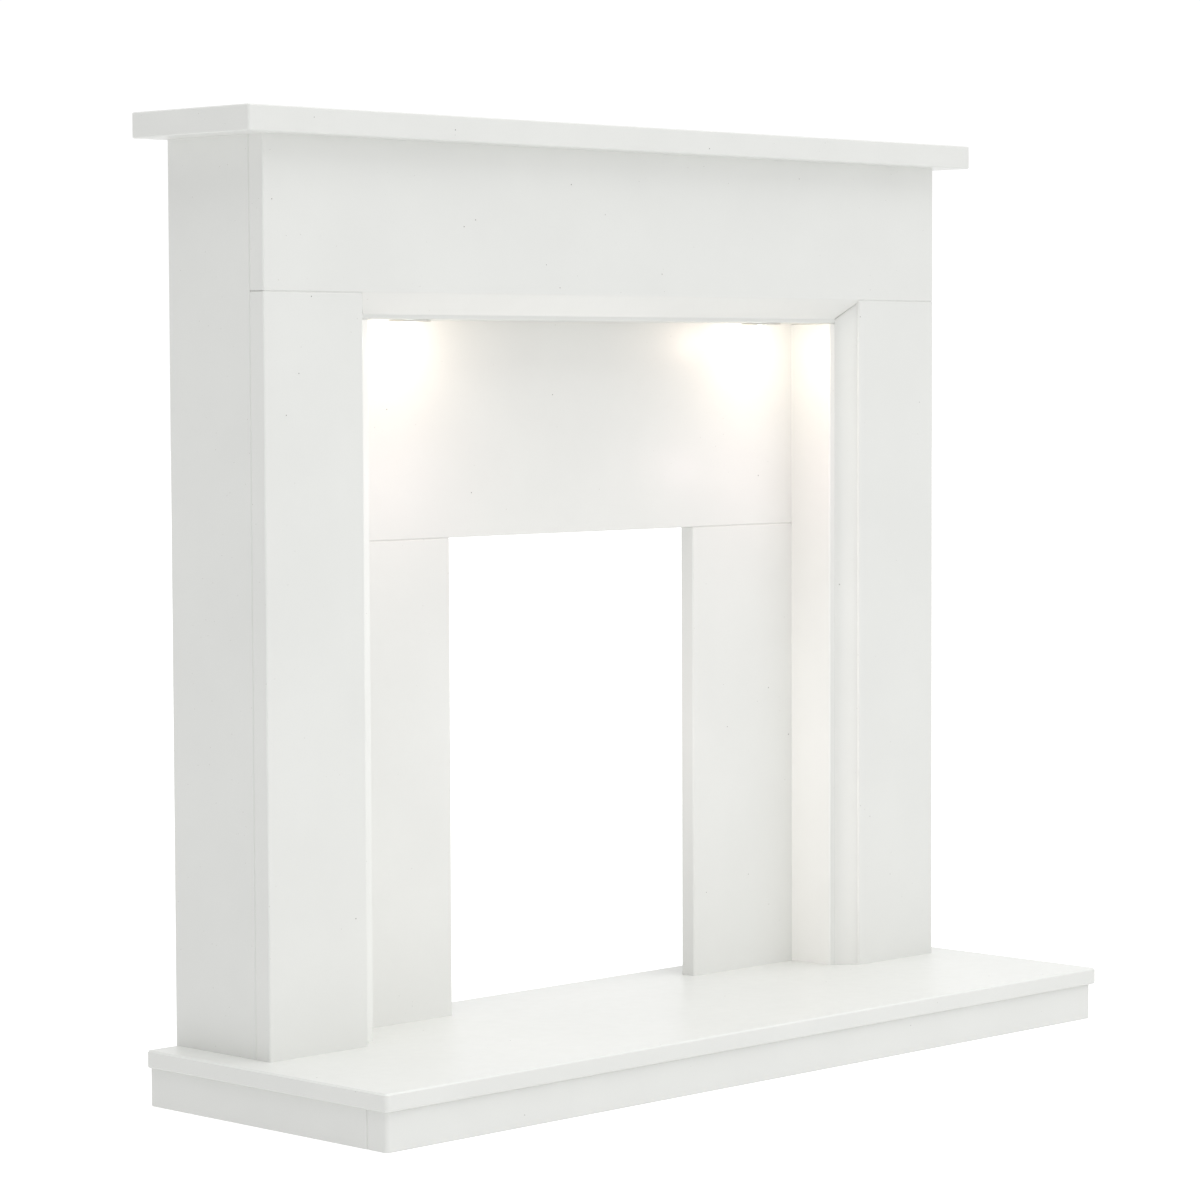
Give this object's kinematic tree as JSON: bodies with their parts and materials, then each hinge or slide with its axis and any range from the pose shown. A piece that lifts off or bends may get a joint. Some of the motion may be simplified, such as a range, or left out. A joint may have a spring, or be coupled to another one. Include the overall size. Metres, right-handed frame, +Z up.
{
  "type": "electric fireplace surround",
  "caption": "White micro-marble fire surround with shelf, lit recess, three-piece back panel with an open cut-out for an inset electric fire, and a boxed hearth.",
  "frame": {"origin": "on the floor at the centre of the footprint", "axes": "+X to the right of someone facing the front, +Y back towards the wall, +Z up"},
  "size_m": [1.221, 0.41, 1.1151],
  "materials": {
    "micro_marble": "satin, polished micro-marble with sparse fine dark specks",
    "softwood": "planed softwood",
    "zinc_steel": "bright zinc plate",
    "bezel_nickel": "satin nickel",
    "heat_sink_aluminium": "turned aluminium",
    "lens_frosted": "frosted, lit warm white",
    "led_module": "phosphor-coated board",
    "white_plastic": "moulded, fine texture",
    "white_cable": "matt PVC sheath"
  },
  "bodies": {
    "root": {"back_panel_leg_left": "micro_marble", "back_panel_leg_right": "micro_marble", "back_panel_top": "micro_marble", "bracket_screw_left": "zinc_steel", "bracket_screw_right": "zinc_steel", "corner_batten_left": "softwood", "corner_batten_right": "softwood", "downlight_left_bezel": "bezel_nickel", "downlight_left_clip_inner_pin": "zinc_steel", "downlight_left_clip_outer_pin": "zinc_steel", "downlight_left_heat_sink": "heat_sink_aluminium", "downlight_left_led_module": "led_module", "downlight_left_lens": "lens_frosted", "downlight_right_bezel": "bezel_nickel", "downlight_right_clip_inner_pin": "zinc_steel", "downlight_right_clip_outer_pin": "zinc_steel", "downlight_right_heat_sink": "heat_sink_aluminium", "downlight_right_led_module": "led_module", "downlight_right_lens": "lens_frosted", "header_batten": "softwood", "header_front": "micro_marble", "hearth_front_riser": "micro_marble", "hearth_rear_riser": "micro_marble", "hearth_rib_left": "micro_marble", "hearth_rib_right": "micro_marble", "hearth_side_riser_left": "micro_marble", "hearth_side_riser_right": "micro_marble", "hearth_slab": "micro_marble", "inner_return_left": "micro_marble", "inner_return_right": "micro_marble", "joint_strap_left": "zinc_steel", "joint_strap_right": "zinc_steel", "lead_left": "white_cable", "lead_right": "white_cable", "led_driver": "white_plastic", "leg_front_left": "micro_marble", "leg_front_right": "micro_marble", "mantel_shelf": "micro_marble", "return_batten_left": "softwood", "return_batten_right": "softwood", "side_panel_left": "micro_marble", "side_panel_right": "micro_marble", "soffit_batten": "softwood", "soffit_panel": "micro_marble", "strap_screw_left_lower": "zinc_steel", "strap_screw_left_upper": "zinc_steel", "strap_screw_right_lower": "zinc_steel", "strap_screw_right_upper": "zinc_steel", "switch_housing": "white_plastic", "switch_lead": "white_cable", "wall_bracket_left": "zinc_steel", "wall_bracket_right": "zinc_steel"},
    "downlight_left_clip_inner": {"downlight_left_clip_inner": "zinc_steel"},
    "downlight_left_clip_outer": {"downlight_left_clip_outer": "zinc_steel"},
    "downlight_right_clip_inner": {"downlight_right_clip_inner": "zinc_steel"},
    "downlight_right_clip_outer": {"downlight_right_clip_outer": "zinc_steel"},
    "switch_rocker": {"switch_rocker": "white_plastic"}
  },
  "joints": [
    {"name": "downlight_left_clip_inner_hinge", "type": "hinge", "parent": "root", "child": "downlight_left_clip_inner", "pos_m": [-0.2812, 0.088, 0.9156], "axis": [0, -1, 0], "range_deg": [0, 95], "stiffness_Nm_per_rad": 0.02, "springref_deg": -34.38},
    {"name": "downlight_left_clip_outer_hinge", "type": "hinge", "parent": "root", "child": "downlight_left_clip_outer", "pos_m": [-0.3188, 0.088, 0.9156], "axis": [0, 1, 0], "range_deg": [0, 95], "stiffness_Nm_per_rad": 0.02, "springref_deg": -34.38},
    {"name": "downlight_right_clip_inner_hinge", "type": "hinge", "parent": "root", "child": "downlight_right_clip_inner", "pos_m": [0.2812, 0.088, 0.9156], "axis": [0, 1, 0], "range_deg": [0, 95], "stiffness_Nm_per_rad": 0.02, "springref_deg": -34.38},
    {"name": "downlight_right_clip_outer_hinge", "type": "hinge", "parent": "root", "child": "downlight_right_clip_outer", "pos_m": [0.3188, 0.088, 0.9156], "axis": [0, -1, 0], "range_deg": [0, 95], "stiffness_Nm_per_rad": 0.02, "springref_deg": -34.38},
    {"name": "switch_rocker_hinge", "type": "hinge", "parent": "root", "child": "switch_rocker", "pos_m": [0.568, 0.14, 0.96], "axis": [0, -1, 0], "range_deg": [0, 14]}
  ]
}
